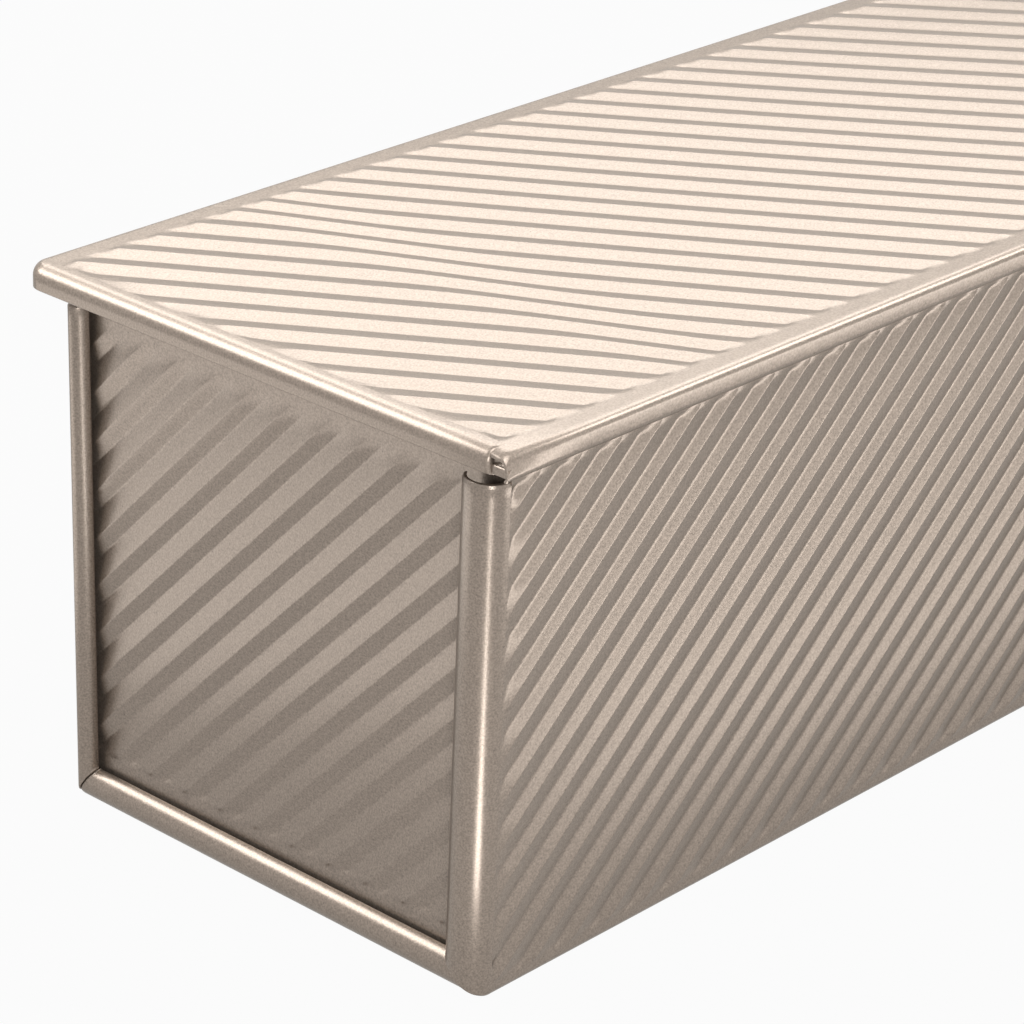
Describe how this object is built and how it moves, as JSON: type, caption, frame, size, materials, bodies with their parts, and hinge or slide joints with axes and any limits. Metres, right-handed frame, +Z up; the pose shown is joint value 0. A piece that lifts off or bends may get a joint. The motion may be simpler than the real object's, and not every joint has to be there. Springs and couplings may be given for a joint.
{
  "type": "pullman loaf pan",
  "caption": "Long square-section loaf pan of ribbed steel sheet with curled ends, a wired rim and a flat ribbed lid that slides along the rim.",
  "frame": {"origin": "on the table, under the middle of the closed pan's box", "axes": "+X along the pan, away from the lid's turned-down stop end; +Z up; the lid slides off towards -X"},
  "size_m": [0.34, 0.1258, 0.114],
  "materials": {
    "champagne_coating": "satin champagne non-stick coating with a fine speckle",
    "rim_wire_steel": "plain drawn wire"
  },
  "bodies": {
    "pan": {"pan_wrapper": "champagne_coating", "end_panel_front": "champagne_coating", "end_panel_back": "champagne_coating", "rim_wire": "rim_wire_steel"},
    "lid": {"sliding_lid": "champagne_coating"}
  },
  "joints": [
    {"name": "lid_slide", "type": "slide", "parent": "pan", "child": "lid", "axis": [-1, 0, 0], "range_m": [0, 0.345]}
  ]
}
